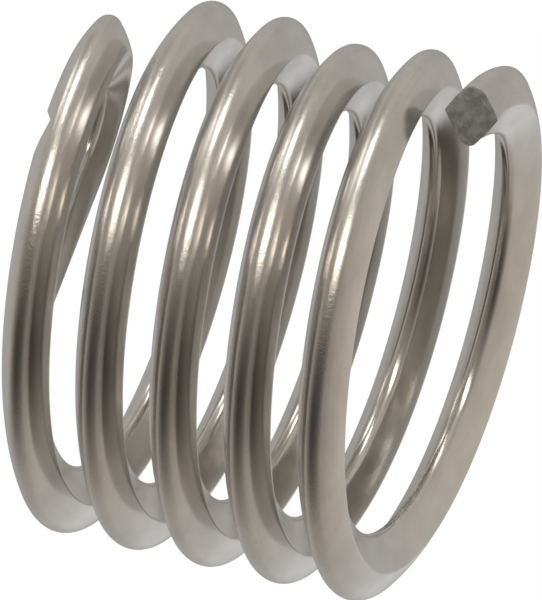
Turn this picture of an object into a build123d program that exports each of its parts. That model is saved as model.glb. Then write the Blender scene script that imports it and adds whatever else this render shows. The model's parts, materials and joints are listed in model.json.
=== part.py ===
from build123d import *

import os
from math import atan, cos, pi, radians, sin, sqrt, tan

# Tanged wire thread insert: a coil of diamond section wire that lines a tapped hole.
#
# One length of rolled wire makes the whole piece. The outer half of its section is the thread that
# screws into the tapped hole, and the inner half is the thread that takes the screw. The coil runs
# right-handed up the Z axis, from a plain sheared end at the bottom to the end that goes first into
# the hole. There the wire turns inward and crosses the bore as the driving tang, and a notch
# beside the bend lets the tang be broken off after fitting. All sizes are of the relaxed coil.

# Coil
outside_diameter = 12.2
free_pitch = 1.70
coil_turns = 4.95

# Diamond section of the wire, with both threads at the same flank angle
wire_width = 1.16
flank_angle = 60
outer_crest_flat = 0.33
outer_crest_bevel = 0.10
inner_crest_flat = 0.20

# Driving tang, bent in from the last turn and leaning out of it
bend_radius = 1.94
bend_angle = 158
tang_lean = 8.5
tang_tip_to_bore = 2.4

# Break-off notch across the end flank, steep towards the bend
notch_to_bend = 1.9
notch_depth = 0.22
notch_steep_length = 0.28
notch_ramp_length = 0.78

# Sizes that follow from these
half_width = wire_width / 2
flank_slope = tan(radians(flank_angle / 2))
outer_height = (half_width - outer_crest_flat / 2) / flank_slope
inner_height = (half_width - inner_crest_flat / 2) / flank_slope
coil_radius = outside_diameter / 2 - outer_height
bore_radius = coil_radius - inner_height
lead_angle = atan(free_pitch / (2 * pi * coil_radius))
start_height = half_width * cos(lead_angle)
coil_length = coil_turns * free_pitch / sin(lead_angle)


def wire_station(line, fraction):
    """Plane square to the wire: X points out from the coil's axis and Z runs along the wire."""
    centre = line @ fraction
    along = line % fraction
    outward = Vector(centre.X, centre.Y, 0).normalized()
    return Plane(origin=centre, x_dir=outward, z_dir=along)


def reach_to_bore(point, direction):
    """Length from a point inside the bore, along a direction, to the crests on the far side."""
    flat = direction.X**2 + direction.Y**2
    half = point.X * direction.X + point.Y * direction.Y
    rest = point.X**2 + point.Y**2 - bore_radius**2
    return (-half + sqrt(half**2 - flat * rest)) / flat


with BuildLine() as coil:
    Helix(free_pitch, coil_turns * free_pitch, coil_radius, center=(0, 0, start_height))

with BuildPart() as thread_insert:
    # Wire section: a diamond cut flat at the bore crest and at the bevelled outer crest
    with BuildSketch(wire_station(coil.line, 0)) as wire_section:
        with BuildLine():
            Polyline(
                (outer_height, outer_crest_flat / 2),
                (0, half_width),
                (-inner_height, inner_crest_flat / 2),
                (-inner_height, -inner_crest_flat / 2),
                (0, -half_width),
                (outer_height, -outer_crest_flat / 2),
                close=True,
            )
        make_face()
        outer_corners = wire_section.vertices().group_by(Axis.X)[-1]
        chamfer(outer_corners, min(outer_crest_bevel, 0.45 * outer_crest_flat))
    sweep(path=coil.line, is_frenet=True)

    # Inward bend, in a plane that leans out of the last turn
    bend_start = wire_station(coil.line, 1)
    tangward = bend_start.x_dir.cross(bend_start.z_dir)
    inward = tangward * sin(radians(tang_lean)) - bend_start.x_dir * cos(radians(tang_lean))
    bend_axis = Axis(bend_start.origin + inward * bend_radius, bend_start.z_dir.cross(inward))
    end_face = thread_insert.faces().sort_by_distance(bend_start.origin)[0]
    revolve(end_face, axis=bend_axis, revolution_arc=bend_angle)

    # Straight tang across the bore
    bend_arm = (bend_start.origin - bend_axis.position).rotate(bend_axis, bend_angle)
    tang_root = bend_axis.position + bend_arm
    tang_direction = bend_start.z_dir.rotate(bend_axis, bend_angle)
    tang_length = reach_to_bore(tang_root, tang_direction) - tang_tip_to_bore
    root_face = thread_insert.faces().sort_by_distance(tang_root)[0]
    extrude(root_face, amount=tang_length)

    # Break-off notch, deepest at the side corner and run out at the outer crest
    notch = wire_station(coil.line, 1 - notch_to_bend / coil_length)
    end_side = notch.x_dir.cross(notch.z_dir)
    notch_root = notch.origin + end_side * (half_width - notch_depth)
    crest_edge = notch.origin + notch.x_dir * outer_height + end_side * outer_crest_flat / 2
    with BuildSketch(Plane(notch_root, x_dir=notch.z_dir, z_dir=crest_edge - notch_root)):
        with BuildLine():
            Polyline(
                (0, 0),
                (2 * notch_steep_length, 2 * notch_depth),
                (-2 * notch_ramp_length, 2 * notch_depth),
                close=True,
            )
        make_face()
    extrude(amount=outer_height, both=True, mode=Mode.SUBTRACT)

thread_insert.part.label = "thread_insert"

os.makedirs("parts", exist_ok=True)
export_step(thread_insert.part, "parts/thread_insert.step")
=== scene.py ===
import json
from math import atan, cos, pi, radians, sin, sqrt, tan, tau

import bpy
import numpy as np
from mathutils import Matrix, Vector

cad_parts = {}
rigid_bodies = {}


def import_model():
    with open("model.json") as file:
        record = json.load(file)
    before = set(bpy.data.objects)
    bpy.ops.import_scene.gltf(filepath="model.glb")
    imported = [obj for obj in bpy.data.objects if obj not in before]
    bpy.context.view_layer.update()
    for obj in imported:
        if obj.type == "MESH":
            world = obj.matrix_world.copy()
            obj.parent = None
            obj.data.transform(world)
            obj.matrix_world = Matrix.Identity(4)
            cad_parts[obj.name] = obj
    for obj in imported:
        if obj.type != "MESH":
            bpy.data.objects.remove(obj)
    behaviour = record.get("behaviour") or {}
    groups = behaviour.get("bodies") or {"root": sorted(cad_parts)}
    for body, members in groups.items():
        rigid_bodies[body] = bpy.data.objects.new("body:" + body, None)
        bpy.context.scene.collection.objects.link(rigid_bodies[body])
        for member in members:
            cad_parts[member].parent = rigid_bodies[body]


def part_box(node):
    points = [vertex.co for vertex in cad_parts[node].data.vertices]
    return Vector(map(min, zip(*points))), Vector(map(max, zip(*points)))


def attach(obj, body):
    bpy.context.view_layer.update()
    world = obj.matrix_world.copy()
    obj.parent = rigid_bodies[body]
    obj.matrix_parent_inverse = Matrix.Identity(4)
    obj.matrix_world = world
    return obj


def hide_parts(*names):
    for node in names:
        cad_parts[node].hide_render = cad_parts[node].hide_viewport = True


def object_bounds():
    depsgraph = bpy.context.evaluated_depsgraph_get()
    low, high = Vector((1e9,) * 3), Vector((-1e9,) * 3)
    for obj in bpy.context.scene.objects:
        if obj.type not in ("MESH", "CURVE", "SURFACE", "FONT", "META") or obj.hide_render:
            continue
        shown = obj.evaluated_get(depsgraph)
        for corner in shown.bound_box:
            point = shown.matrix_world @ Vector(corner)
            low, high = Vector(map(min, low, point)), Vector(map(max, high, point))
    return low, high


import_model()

MM = 0.001
cad_low, cad_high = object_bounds()

# Coil, as in the part's source
node_low, node_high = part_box("thread_insert")
outside_radius = (node_high.x - node_low.x) / 2
free_pitch = 1.70 * MM
coil_turns = 4.95

# Diamond section of the wire, here with the corners rounded as rolling leaves them
half_width = 0.58 * MM
flank_half_angle = radians(30)
outer_crest_flat = 0.33 * MM
inner_crest_flat = 0.20 * MM
side_radius = 0.08 * MM
side_wear = 0.035 * MM
inner_wear = 0.05 * MM
outer_bulge = radians(8)
inner_bulge = radians(2.5)
outer_crest_steps = 12
inner_crest_steps = 10
flank_steps = 5
outer_height = (half_width - outer_crest_flat / 2) / tan(flank_half_angle)
inner_height = (half_width - inner_crest_flat / 2) / tan(flank_half_angle)
apex_height = half_width / tan(flank_half_angle)
coil_radius = outside_radius - outer_height
bore_radius = coil_radius - inner_height
lead_angle = atan(free_pitch / (tau * coil_radius))
start_height = half_width * cos(lead_angle)
coil_length = coil_turns * free_pitch / sin(lead_angle)

# Driving tang
bend_radius = 1.94 * MM
bend_angle = radians(158)
tang_lean = radians(8.5)
tang_tip_to_bore = 2.4 * MM

# Break-off notch
notch_to_bend = 1.9 * MM
notch_depth = 0.31 * MM
notch_steep_length = 0.34 * MM
notch_ramp_length = 0.78 * MM

# Sheared ends
rim_width = 0.03 * MM
rim_height = 0.6 * rim_width
shear_unevenness = 0.012 * MM

# Where the coil isn't true: a flat spot on its third turn, and the plain end closed up and
# squashed by the shears
dent_turn = radians(20) + 2 * tau
dent_depth = 0.24 * MM
dent_reach = 6.5 * MM
end_shift = (-0.13 * MM, 0, 0.22 * MM)
end_shift_reach = 2.6 * MM
end_squash = (0.93, 1, 1.09)
end_squash_reach = 0.9 * MM

# How finely the piece is divided
steps_per_turn = 160
bend_steps = 60
tang_steps = 14
grid_span = 9

# How near two points count as one, how near a plane a point counts as in it, and how far from a
# place its wire and its faces are looked for
weld_gap = 0.001 * MM
ring_gap = 0.002 * MM
plane_gap = 0.01 * MM
wire_reach = 1.2 * MM
face_reach = 0.4 * half_width

# Faces that meet at less than this are shaded as one curve
smooth_angle = radians(32)

# Height of one unit of relief in the two finishes
rolled_relief = 0.0008 * MM
torn_relief = 0.012 * MM


# ---------------------------------------------------------------- making by hand
def edit(piece):
    """Goes into edit mode on one piece, with nothing in it selected."""
    bpy.ops.object.select_all(action="DESELECT")
    bpy.context.view_layer.objects.active = piece
    piece.select_set(True)
    bpy.ops.object.mode_set(mode="EDIT")
    bpy.ops.mesh.select_all(action="DESELECT")


def done():
    """Leaves edit mode."""
    bpy.ops.object.mode_set(mode="OBJECT")


def select_points(piece, wanted):
    """Selects the points whose place the test wants."""
    bpy.ops.mesh.select_mode(type="VERT")
    bpy.ops.mesh.select_all(action="DESELECT")
    bpy.ops.object.mode_set(mode="OBJECT")
    for point in piece.data.vertices:
        point.select = bool(wanted(point.co))
    bpy.ops.object.mode_set(mode="EDIT")


def select_face_near(piece, place, facing):
    """Selects the face at a place that points most nearly one way."""
    bpy.ops.mesh.select_mode(type="FACE")
    bpy.ops.mesh.select_all(action="DESELECT")
    bpy.ops.object.mode_set(mode="OBJECT")
    near = [face for face in piece.data.polygons if (face.center - place).length < face_reach]
    best = max(near, key=lambda face: face.normal.dot(facing))
    best.select = True
    bpy.ops.object.mode_set(mode="EDIT")


def apply_all(piece):
    """Makes the piece's modifiers part of its mesh."""
    bpy.ops.object.select_all(action="DESELECT")
    bpy.context.view_layer.objects.active = piece
    piece.select_set(True)
    for modifier in list(piece.modifiers):
        bpy.ops.object.modifier_apply(modifier=modifier.name)


def settle(piece):
    """Puts the piece's place into its mesh, so that the object sits at the origin."""
    bpy.ops.object.select_all(action="DESELECT")
    bpy.context.view_layer.objects.active = piece
    piece.select_set(True)
    bpy.ops.object.transform_apply(location=True, rotation=True, scale=True)


def coil_place(turn):
    """Wire centre and its outward, endward and along directions, at a turn from the plain end."""
    outward = Vector((cos(turn), sin(turn), 0))
    round_axis = Vector((-sin(turn), cos(turn), 0))
    centre = outward * coil_radius + Vector((0, 0, start_height + free_pitch * turn / tau))
    along = round_axis * cos(lead_angle) + Vector((0, 0, sin(lead_angle)))
    endward = outward.cross(along)
    return centre, outward, endward, along


def soft_outline():
    """Arcs of the wire's section from one side of the outer crest, as radius, turn and steps."""
    halves = []
    outer = (outer_height, outer_bulge, outer_crest_steps)
    inner = (inner_height - inner_wear, inner_bulge, inner_crest_steps)
    for height, bulge, crest_steps in (outer, inner):
        flank_start = pi / 2 - flank_half_angle - bulge
        flank_end = pi / 2 - flank_half_angle + bulge
        across = [sin(flank_start), sin(flank_end) - sin(flank_start)]
        inwards = [1 - cos(flank_start), cos(flank_start) - cos(flank_end)]
        side = half_width - side_wear
        left = [side - side_radius * (1 - sin(flank_end)), height - side_radius * cos(flank_end)]
        crest_radius, flank_radius = np.linalg.solve([across, inwards], left)
        crest = (crest_radius, 2 * flank_start, crest_steps)
        flank = (flank_radius, 2 * bulge, flank_steps)
        halves.append((crest, flank))
    (outer_crest, outer_flank), (inner_crest, inner_flank) = halves
    corner = (side_radius, 2 * flank_half_angle - outer_bulge - inner_bulge, flank_steps)
    flanks = [outer_flank, corner, inner_flank]
    return [outer_crest, *flanks, inner_crest, *reversed(flanks)]


def draw_section():
    """Draws the soft diamond by spinning a point round each arc, square to the wire's start."""
    arcs = soft_outline()
    radius, turn, _ = arcs[0]
    heading = -turn / 2
    point = Vector((outer_height - radius * (1 - cos(heading)), 0, radius * sin(heading)))
    bpy.ops.object.select_all(action="DESELECT")
    bpy.ops.mesh.primitive_plane_add(size=half_width, location=point)
    section = bpy.context.object
    settle(section)
    bpy.ops.object.mode_set(mode="EDIT")
    bpy.ops.mesh.select_all(action="SELECT")
    bpy.ops.mesh.merge(type="CENTER")
    for radius, turn, steps in arcs:
        centre = point - Vector((cos(heading), 0, sin(heading))) * radius
        bpy.ops.mesh.spin(steps=steps, angle=-turn, center=centre, axis=(0, -1, 0))
        heading += turn
        point = centre + Vector((cos(heading), 0, sin(heading))) * radius
    bpy.ops.mesh.select_all(action="SELECT")
    bpy.ops.mesh.remove_doubles(threshold=weld_gap)
    done()
    section.rotation_euler = (lead_angle, 0, 0)
    section.location = (coil_radius, 0, start_height)
    settle(section)
    return section


def wind_coil(wire):
    """Winds the section along the helix."""
    screw = wire.modifiers.new("coil", "SCREW")
    screw.axis = "Z"
    screw.angle = coil_turns * tau
    screw.screw_offset = coil_turns * free_pitch
    screw.steps = screw.render_steps = round(coil_turns * steps_per_turn)
    screw.use_merge_vertices = False
    apply_all(wire)


def select_slice(wire, centre, along, gap):
    """Selects the wire's points near its centre and within a gap of the plane across it there."""
    def in_slice(point):
        away = point - centre
        return abs(away.dot(along)) < gap and away.length < wire_reach

    select_points(wire, in_slice)


def close_ends(wire):
    """Fills both open ends of the coil and turns every face outwards."""
    edit(wire)
    for turn in (0, coil_turns * tau):
        centre, _, _, along = coil_place(turn)
        select_slice(wire, centre, along, plane_gap)
        bpy.ops.mesh.edge_face_add()
    bpy.ops.mesh.select_all(action="SELECT")
    bpy.ops.mesh.normals_make_consistent(inside=False)
    done()


def tang_line():
    """Bend centre and axis, then where the straight tang starts, its direction and its length."""
    centre, outward, endward, along = coil_place(coil_turns * tau)
    inward = endward * sin(tang_lean) - outward * cos(tang_lean)
    bend_centre = centre + inward * bend_radius
    axis = along.cross(inward)
    turned = Matrix.Rotation(bend_angle, 3, axis)
    root = bend_centre + turned @ (centre - bend_centre)
    direction = turned @ along
    flat = direction.x**2 + direction.y**2
    half = root.x * direction.x + root.y * direction.y
    rest = root.x**2 + root.y**2 - bore_radius**2
    length = (-half + sqrt(half**2 - flat * rest)) / flat - tang_tip_to_bore
    return bend_centre, axis, root, direction, length


def bend_tang(wire):
    """Carries the wire on round the inward bend and out along the tang."""
    centre, _, _, along = coil_place(coil_turns * tau)
    bend_centre, axis, _, direction, length = tang_line()
    edit(wire)
    select_face_near(wire, centre, along)
    bpy.ops.mesh.spin(steps=bend_steps, angle=-bend_angle, center=bend_centre, axis=axis)
    step = direction * (length / tang_steps)
    for _ in range(tang_steps):
        bpy.ops.mesh.extrude_region_move(TRANSFORM_OT_translate={"value": step})
    bpy.ops.mesh.select_all(action="SELECT")
    bpy.ops.mesh.normals_make_consistent(inside=False)
    done()


def cut_notch(wire):
    """Cuts the break-off notch across the end flank, steep towards the bend and gentle away from it."""
    turn = coil_turns * tau * (1 - notch_to_bend / coil_length)
    centre, outward, endward, along = coil_place(turn)
    root = centre + endward * (half_width - side_wear - notch_depth)
    crest_edge = centre + outward * outer_height + endward * (outer_crest_flat / 2)
    across = (crest_edge - root).normalized()
    bpy.ops.object.select_all(action="DESELECT")
    bpy.ops.mesh.primitive_cube_add(size=2)
    wedge = bpy.context.object
    wedge.scale = (notch_steep_length + notch_ramp_length, notch_depth, outer_height)
    wedge.location = (notch_steep_length - notch_ramp_length, notch_depth, 0)
    settle(wedge)
    edit(wedge)
    select_points(wedge, lambda p: p.y < 0.5 * notch_depth)
    bpy.ops.transform.resize(value=(0, 1, 1), center_override=(0, 0, 0))
    bpy.ops.mesh.select_all(action="SELECT")
    bpy.ops.mesh.remove_doubles(threshold=weld_gap)
    bpy.ops.mesh.normals_make_consistent(inside=False)
    done()
    frame_of_notch = Matrix((along, across.cross(along), across)).transposed().to_4x4()
    wedge.matrix_world = Matrix.Translation(root) @ frame_of_notch
    settle(wedge)
    notch = wire.modifiers.new("notch", "BOOLEAN")
    notch.operation = "DIFFERENCE"
    notch.object = wedge
    notch.solver = "EXACT"
    apply_all(wire)
    bpy.data.objects.remove(wedge)


def shear_end(wire, place, facing, seed):
    """Gives a sheared end its small rim and an uneven face, and paints both as sheared steel."""
    edit(wire)
    select_face_near(wire, place, facing)
    bpy.ops.mesh.inset(thickness=rim_width, depth=rim_height)
    bpy.ops.mesh.delete(type="ONLY_FACE")
    select_ring(wire, place + facing * rim_height, facing)
    bpy.ops.mesh.fill_grid(span=grid_span)
    bpy.ops.mesh.select_more()
    wire.active_material_index = 1
    bpy.ops.object.material_slot_assign()
    bpy.ops.mesh.select_less()
    bpy.ops.mesh.select_less()
    bpy.ops.transform.vertex_random(offset=shear_unevenness, uniform=0, normal=1, seed=seed)
    done()


def select_ring(wire, place, facing):
    """Selects the ring of points that lies in the plane through a place."""
    def in_ring(point):
        away = point - place
        return abs(away.dot(facing)) < ring_gap and away.length < apex_height

    select_points(wire, in_ring)


def select_wire_at(wire, turn):
    """Selects the wire's points at one turn of the coil, and gives the wire's centre there."""
    centre, _, _, along = coil_place(turn)
    select_slice(wire, centre, along, rim_width)
    return centre


def ease(reach):
    """Settings that let the wire on either side follow a move, less and less up to this far away."""
    return dict(use_proportional_edit=True, use_proportional_connected=True,
                proportional_edit_falloff="SMOOTH", proportional_size=reach)


def set_out_of_true(wire):
    """Presses the flat spot in, closes up the coil at its plain end and squashes that end."""
    edit(wire)
    select_wire_at(wire, dent_turn)
    inward = Vector((-cos(dent_turn), -sin(dent_turn), 0))
    bpy.ops.transform.translate(value=inward * dent_depth, **ease(dent_reach))
    centre = select_wire_at(wire, 0)
    bpy.ops.transform.resize(value=end_squash, center_override=centre, **ease(end_squash_reach))
    bpy.ops.transform.translate(value=end_shift, **ease(end_shift_reach))
    done()


def measure_along_wire(wire):
    """Stores each point's place in the straight wire, in millimetres.

    It is told outward and endward of the wire's centre, and along the wire from its plain end.
    """
    points = np.array([v.co for v in wire.data.vertices])
    total_turn = coil_turns * tau
    end_centre, end_outward, endward, _ = (np.array(v) for v in coil_place(total_turn))
    bend_centre, axis, root, direction, length = tang_line()
    bend_centre, axis, root, direction = (np.array(v) for v in (bend_centre, axis, root, direction))

    # In the coil
    turn = np.arctan2(points[:, 1], points[:, 0])
    rise = (points[:, 2] - start_height) * tau / free_pitch
    turn = np.clip(turn + tau * np.round((rise - turn) / tau), 0, total_turn)
    outward = np.stack([np.cos(turn), np.sin(turn), 0 * turn], 1)
    level = cos(lead_angle)
    run = np.stack([-np.sin(turn) * level, np.cos(turn) * level, 0 * turn + sin(lead_angle)], 1)
    centre = outward * coil_radius
    centre[:, 2] = start_height + free_pitch * turn / tau
    away = points - centre
    across = np.cross(outward, run)
    run_length = turn / total_turn * coil_length
    coil = np.stack([(away * outward).sum(1), (away * across).sum(1), run_length], 1)
    coil_gap = np.linalg.norm(away, axis=1)

    # In the bend
    first = end_centre - bend_centre
    second = np.cross(axis, first)
    spoke = points - bend_centre
    lift = spoke @ axis
    angle = np.clip(np.arctan2(spoke @ second, spoke @ first), 0, bend_angle)
    on_arc = np.outer(np.cos(angle), first) + np.outer(np.sin(angle), second)
    bend_gap = np.linalg.norm(spoke - on_arc, axis=1)
    out_part = end_outward @ first / bend_radius
    up_part = endward @ first / bend_radius

    def in_bent_wire(reach, lift, run_length):
        out = reach * out_part + lift * (end_outward @ axis)
        up = reach * up_part + lift * (endward @ axis)
        return np.stack([out, up, run_length], 1)

    reach = (spoke * on_arc).sum(1) / bend_radius - bend_radius
    bend = in_bent_wire(reach, lift, coil_length + bend_radius * angle)

    # In the tang
    past = points - root
    beyond = past @ direction
    tang_gap = np.linalg.norm(past - np.outer(np.clip(beyond, 0, length), direction), axis=1)
    arm = (root - bend_centre) / bend_radius
    tang = in_bent_wire(past @ arm, past @ axis, coil_length + bend_radius * bend_angle + beyond)

    nearest = np.argmin(np.stack([coil_gap, bend_gap, tang_gap]), axis=0)
    place = np.choose(nearest[:, None], [coil, bend, tang]) / MM
    stored = wire.data.attributes.new("wire_place", "FLOAT_VECTOR", "POINT")
    stored.data.foreach_set("vector", place.astype(np.float32).ravel())


# ---------------------------------------------------------------- materials
class Signal:
    """A value in a finish. Adding, multiplying and so on makes its Math nodes."""

    def __init__(self, finish, socket):
        self.finish, self.socket = finish, socket

    def _maths(self, operation, *values):
        return self.finish.node("ShaderNodeMath", {"operation": operation}, dict(enumerate(values)))

    def __add__(self, other):
        return self._maths("ADD", self, other)

    __radd__ = __add__

    def __sub__(self, other):
        return self._maths("SUBTRACT", self, other)

    def __rsub__(self, other):
        return self._maths("SUBTRACT", other, self)

    def __mul__(self, other):
        return self._maths("MULTIPLY", self, other)

    __rmul__ = __mul__

    def __abs__(self):
        return self._maths("ABSOLUTE", self)

    def or_more(self, other):
        """The larger of two values."""
        return self._maths("MAXIMUM", self, other)

    def exponential(self):
        return self._maths("EXPONENT", self)


class Finish:
    """The nodes of a material or of the world."""

    def __init__(self, owner):
        self.owner = owner
        owner.use_nodes = True
        self.tree = owner.node_tree
        self.tree.nodes.clear()

    def node(self, kind, settings=None, sockets=None, out=0):
        """Adds a node, its settings first, then its sockets' values or links, and gives one output."""
        made = self.tree.nodes.new(kind)
        for name, value in (settings or {}).items():
            setattr(made, name, value)
        for name, value in (sockets or {}).items():
            if isinstance(value, Signal):
                self.tree.links.new(value.socket, made.inputs[name])
            else:
                made.inputs[name].default_value = value
        return None if out is None else Signal(self, made.outputs[out])

    def scaled(self, vector, by):
        """A place multiplied, so that noise read there is this many times finer each way."""
        return self.node("ShaderNodeVectorMath", {"operation": "MULTIPLY"}, {0: vector, 1: by})

    def noise(self, vector, scale, detail=2.0, roughness=0.5):
        """Noise from 0 to 1, mostly near a half."""
        return self.node("ShaderNodeTexNoise", {"noise_dimensions": "3D"},
                         {"Vector": vector, "Scale": scale, "Detail": detail, "Roughness": roughness})

    def step(self, value, low, high):
        """0 below low, 1 above high and smooth between."""
        return self.node("ShaderNodeMapRange", {"interpolation_type": "SMOOTHSTEP"},
                         {"Value": value, "From Min": low, "From Max": high, "To Min": 0.0, "To Max": 1.0})

    def blend(self, factor, first, second):
        """A colour between two, by the factor. A Mix node takes its colours by these numbers."""
        sockets = {"Factor": factor, 6: first, 7: second}
        return self.node("ShaderNodeMix", {"data_type": "RGBA"}, sockets, out=2)

    def bump(self, distance, height):
        """A surface that rises this far for each unit of height."""
        return self.node("ShaderNodeBump", {}, {"Strength": 1.0, "Distance": distance, "Height": height})

    def metal(self, tone, metallic, roughness, normal):
        """The finished material, from its colour, its share of metal, its roughness and its normal."""
        return self.output(self.node("ShaderNodeBsdfPrincipled", {}, {
            "Base Color": tone, "Metallic": metallic, "Roughness": roughness, "Normal": normal}))

    def output(self, shader, kind="ShaderNodeOutputMaterial"):
        """Joins the shader to the surface, and gives the material or world."""
        self.node(kind, sockets={"Surface": shader}, out=None)
        return self.owner


def new_finish(name):
    """A new material, with no nodes yet."""
    return Finish(bpy.data.materials.new(name))


def colour(red, green, blue):
    return (red, green, blue, 1)


def rolled_stainless():
    """Bright rolled wire: fine lines drawn along it, and small pits on the outer crest."""
    f = new_finish("rolled_stainless")
    place = f.node("ShaderNodeAttribute", {"attribute_name": "wire_place"}, out="Vector")
    outward = f.node("ShaderNodeSeparateXYZ", {}, {0: place}, out="X")
    lines = f.noise(f.scaled(place, (14, 14, 0.30)), 1.0, 3.0, 0.6)
    cloud = f.noise(f.scaled(place, (1.6, 1.6, 0.8)), 1.0, 3.0, 0.5)
    grain = f.noise(f.scaled(place, (32, 32, 30)), 1.0, 2.0, 0.6)
    ripple = f.noise(f.scaled(place, (9, 9, 4)), 1.0, 2.0, 0.5)
    crest = f.step(outward, 0.50, 0.66)
    pitted = crest * f.step(grain, 0.56, 0.68)
    tone = f.blend(f.step(cloud, 0.3, 0.7), colour(0.795, 0.775, 0.75), colour(0.71, 0.69, 0.665))
    tone = f.blend(f.step(lines, 0.58, 0.75) * 0.2, tone, colour(0.56, 0.54, 0.52))
    tone = f.blend(pitted * 0.35, tone, colour(0.45, 0.42, 0.39))
    roughness = 0.14 + 0.07 * cloud + 0.05 * pitted
    height = 0.02 * lines + 0.1 * ripple - 9.0 * crest * grain
    bump = f.bump(rolled_relief, height)
    return f.metal(tone, 1.0, roughness, bump)


def sheared_steel():
    """Torn grey face that the shears leave."""
    f = new_finish("sheared_end")
    place = f.node("ShaderNodeTexCoord", out="Object")
    grain = f.noise(f.scaled(place, (22000, 22000, 22000)), 1.0, 4.0, 0.6)
    cloud = f.noise(f.scaled(place, (4200, 4200, 4200)), 1.0, 3.0, 0.5)
    tone = f.blend(f.step(cloud, 0.35, 0.65), colour(0.35, 0.345, 0.33), colour(0.54, 0.53, 0.51))
    tone = f.blend(f.step(grain, 0.5, 0.75) * 0.5, tone, colour(0.62, 0.61, 0.59))
    bump = f.bump(torn_relief, grain + 0.8 * cloud)
    return f.metal(tone, 0.5, 0.42 + 0.2 * grain, bump)


# ---------------------------------------------------------------- the piece
wire = draw_section()
wire.name = wire.data.name = "coiled_wire"
wire.data.materials.append(rolled_stainless())
wire.data.materials.append(sheared_steel())
wind_coil(wire)
close_ends(wire)
bend_tang(wire)
start_centre, _, _, start_along = coil_place(0)
shear_end(wire, start_centre, -start_along, seed=4)
_, _, tang_root, tang_direction, tang_length = tang_line()
shear_end(wire, tang_root + tang_direction * tang_length, tang_direction, seed=9)
cut_notch(wire)
measure_along_wire(wire)
set_out_of_true(wire)
bpy.ops.object.shade_smooth_by_angle(angle=smooth_angle)
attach(wire, "root")
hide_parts("thread_insert")


# ---------------------------------------------------------------- studio
# Camera: how it is turned, where it aims and how far from there its middle lies, to the right and down
camera_turn = radians(22.9)
camera_rise = radians(-14.68)
camera_roll = radians(77.18)
camera_distance = 281.6 * MM
view_height = 13.2 * MM
sensor_width = 36
clip_start = 1 * MM
clip_end = 2000 * MM
aim = Vector((0, 0, 4.829 * MM))
aside = 0.007 * MM
lowered = 0.064 * MM

# What stands round the insert
strip_distance = 90 * MM
tail_distance = 100 * MM
tent_radius = 150 * MM
floor_size = 800 * MM
floor_drop = 0.01 * MM
surround_light = 0.7
top_lamp_place = Vector((0.03, 0.02, 0.16))
top_lamp_size = 120 * MM
top_lamp_watts = 0.010

level_part = cos(camera_rise)
toward = Vector((sin(camera_turn) * level_part, -cos(camera_turn) * level_part, sin(camera_rise)))
level_up = (Vector((0, 0, 1)) - toward * toward.z).normalized()
level_right = level_up.cross(toward)
view_up = level_up * cos(camera_roll) + level_right * sin(camera_roll)
view_right = view_up.cross(toward)


def turned(right, up, back):
    """Rotation whose own X, Y and Z axes point these ways."""
    return Matrix((right, up, back)).transposed().to_4x4()


def set_camera():
    """Stands the camera before the insert, a little to one side and below."""
    camera = bpy.data.cameras.new("camera")
    camera.sensor_width = sensor_width
    camera.lens = sensor_width * camera_distance / view_height
    camera.clip_start = clip_start
    camera.clip_end = clip_end
    holder = bpy.data.objects.new("camera", camera)
    bpy.context.scene.collection.objects.link(holder)
    stand = aim + view_right * aside - view_up * lowered + toward * camera_distance
    holder.matrix_world = Matrix.Translation(stand) @ turned(view_right, view_up, toward)
    bpy.context.scene.camera = holder


def reflected_only(thing):
    """Seen in the metal, and by nothing else."""
    thing.visible_camera = thing.visible_diffuse = thing.visible_shadow = thing.visible_transmission = False


def glow(name, brightness, length, width, soft_ends):
    """Glowing panel that fades out at its edges. Brightness 1 looks white in a mirror."""
    f = new_finish(name)
    place = f.node("ShaderNodeTexCoord", out="Object")
    along, across = (abs(f.node("ShaderNodeSeparateXYZ", {}, {0: place}, out=axis)) for axis in (0, 1))
    shown = f.step(along, length / 2, length / 2 * (1 - soft_ends)) * f.step(across, width / 2, width / 4)
    light = f.node("ShaderNodeEmission", {}, {"Color": colour(*brightness), "Strength": 1.0})
    clear = f.node("ShaderNodeBsdfTransparent")
    return f.output(f.node("ShaderNodeMixShader", {}, {0: shown, 1: clear, 2: light}))


def from_camera_side(across, rise, near):
    """A direction told by how far it goes to the camera's right, up and towards the camera."""
    return view_right * across + view_up * rise + toward * near


def reflected_strip(name, first, last, width, brightness, soft_ends=0.3, distance=strip_distance):
    """Long lamp that faces the insert. Its ends are told from the camera's side, in its distances."""
    start, end = (from_camera_side(*point) * distance for point in (first, last))
    along, middle = (end - start).normalized(), (start + end) / 2
    back = (middle - along * middle.dot(along)).normalized()
    length = (end - start).length
    bpy.ops.object.select_all(action="DESELECT")
    bpy.ops.mesh.primitive_plane_add(size=1)
    strip = bpy.context.object
    strip.name = name
    strip.scale = (length, width * distance, 1)
    settle(strip)
    strip.matrix_world = Matrix.Translation(aim + middle) @ turned(along, back.cross(along), back)
    strip.data.materials.append(glow(name, brightness, length, width * distance, soft_ends))
    reflected_only(strip)


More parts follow.
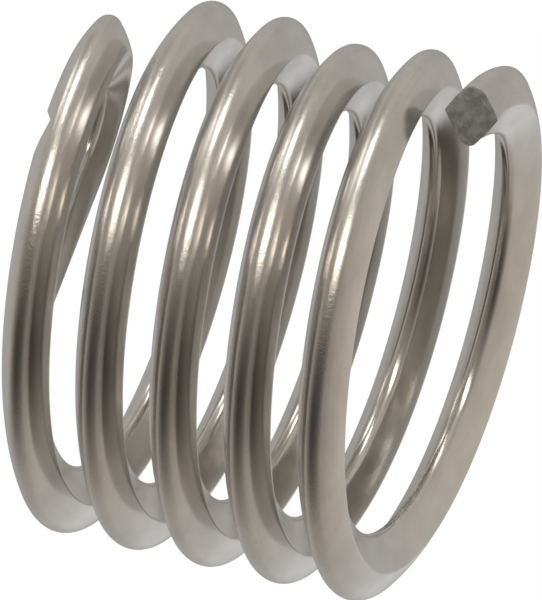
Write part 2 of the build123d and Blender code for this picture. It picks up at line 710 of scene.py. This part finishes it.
def light_tent():
    """Cloth all round that only the metal sees: grey, and dark low in front, where the camera stands."""
    bpy.ops.object.select_all(action="DESELECT")
    bpy.ops.mesh.primitive_uv_sphere_add(segments=64, ring_count=32, radius=tent_radius, location=aim)
    tent = bpy.context.object
    tent.name = "light_tent"
    f = new_finish("tent_cloth")
    place = f.node("ShaderNodeTexCoord", out="Object")
    way = f.node("ShaderNodeVectorMath", {"operation": "NORMALIZE"}, {0: place})

    def part(across, rise, near):
        """How nearly a point of the cloth lies that way: 1 straight there, 0 square to it."""
        direction = from_camera_side(across, rise, near).normalized()
        sockets = {0: way, 1: tuple(direction)}
        return f.node("ShaderNodeVectorMath", {"operation": "DOT_PRODUCT"}, sockets, out="Value")

    def lobe(tightness, *direction):
        """1 that way, and less the further a point of the cloth lies from it."""
        return (tightness * (part(*direction) - 1)).exponential()

    up = f.step(part(0, 1, 0), -0.3, 0.42)
    front = f.blend(up, colour(0.785, 0.707, 0.621), colour(0.62, 0.575, 0.515))
    back = f.blend(up, colour(0.618, 0.592, 0.56), colour(0.572, 0.55, 0.515))
    cloth = f.blend(f.step(part(0, 0, -1), 0.1, 0.75), front, back)
    cloth = f.blend(lobe(26, 0.31, -0.28, -0.91) * 0.80, cloth, colour(0.93, 0.95, 0.965))
    camera_side = 1 - 0.83 * lobe(1.1, 0.19, -0.55, 0.81)
    left_side = 1 - 0.85 * lobe(1.9, -0.56, -0.60, 0.57)
    front_top = 1 + 0.70 * lobe(3.4, 0.04, 0.42, 0.91)
    right_back = 1 - 0.12 * lobe(8, 0.65, 0.24, -0.72)
    right_side = 1 + 0.20 * lobe(6, 0.84, -0.26, -0.48)
    behind = 1 - 0.32 * lobe(10, 0, 0.03, -1)
    below = 1 + 0.24 * lobe(8, 0, -1, 0)
    left_top = 1 - 0.34 * lobe(12, -0.25, 0.96, -0.10)
    shade = camera_side * left_side * front_top * right_back * right_side * behind * below * left_top
    cloth = f.node("ShaderNodeVectorMath", {"operation": "SCALE"}, {0: cloth, "Scale": shade})
    tent.data.materials.append(f.output(f.node("ShaderNodeEmission", {}, {"Color": cloth, "Strength": 1.0})))
    bpy.ops.object.shade_smooth()
    reflected_only(tent)


def pale_floor():
    """Floor under the plain end. It is bare air from below."""
    bpy.ops.object.select_all(action="DESELECT")
    bpy.ops.mesh.primitive_plane_add(size=floor_size, location=(0, 0, cad_low.z - floor_drop))
    floor = bpy.context.object
    floor.name = "floor"
    f = new_finish("pale_floor")
    under = f.node("ShaderNodeNewGeometry", out="Backfacing")
    board = f.node("ShaderNodeBsdfDiffuse", {}, {"Color": colour(0.82, 0.81, 0.80)})
    bare = f.node("ShaderNodeBsdfTransparent")
    floor.data.materials.append(f.output(f.node("ShaderNodeMixShader", {}, {0: under, 1: board, 2: bare})))
    floor.visible_glossy = False


def white_surround():
    """White all round to the eye and in mirrors and glass, and a plain light on everything else."""
    world = bpy.data.worlds.new("surround")
    bpy.context.scene.world = world
    f = Finish(world)
    kinds = ("Is Camera Ray", "Is Glossy Ray", "Is Transmission Ray")
    camera_ray, glossy_ray, clear_ray = (f.node("ShaderNodeLightPath", out=kind) for kind in kinds)
    seen = camera_ray.or_more(glossy_ray).or_more(clear_ray)
    strength = surround_light + (1 - surround_light) * seen
    background = f.node("ShaderNodeBackground", {}, {"Color": colour(1, 1, 1), "Strength": strength})
    f.output(background, "ShaderNodeOutputWorld")


def top_lamp():
    """Soft lamp overhead, which gives the floor its light and the insert its shadow there."""
    light = bpy.data.lights.new("top_lamp", "AREA")
    light.shape = "DISK"
    light.size = top_lamp_size
    light.energy = top_lamp_watts
    holder = bpy.data.objects.new("top_lamp", light)
    bpy.context.scene.collection.objects.link(holder)
    holder.location = top_lamp_place
    holder.rotation_euler = top_lamp_place.to_track_quat("Z", "Y").to_euler()
    holder.visible_camera = holder.visible_glossy = False


set_camera()
white_surround()
light_tent()
reflected_strip("left_overhead_tail", (-0.72, 1, -0.22), (-0.25, 1, 0.19), 0.34,
                (0.42, 0.39, 0.35), distance=tail_distance)
reflected_strip("left_lamp", (-0.84, 1, -0.34), (-0.45, 1, 0.25), 0.24, (3.0, 2.95, 2.8), 0.6)
reflected_strip("left_overhead_strip", (-0.28, 1, 0.23), (0.02, 1, 0.48), 0.22, (1.25, 1.18, 1.09))
reflected_strip("right_overhead_strip", (-0.20, 1, 0.43), (0.44, 1, 0.42), 0.28, (6.5, 6.3, 6))
reflected_strip("right_overhead_tail", (0.28, 1, 0.40), (0.78, 1, 0.46), 0.34,
                (0.9, 0.85, 0.8), distance=tail_distance)
reflected_strip("front_strip", (-0.62, 0.60, 1), (0.72, 0.36, 1), 0.24, (6.5, 6.0, 5.2), 0.6)
reflected_strip("front_strip_tail", (-0.66, 0.61, 1), (0.95, 0.26, 1), 0.32,
                (1.2, 1.08, 0.92), 0.4, tail_distance)
pale_floor()
top_lamp()

bpy.context.scene.view_settings.view_transform = "Standard"
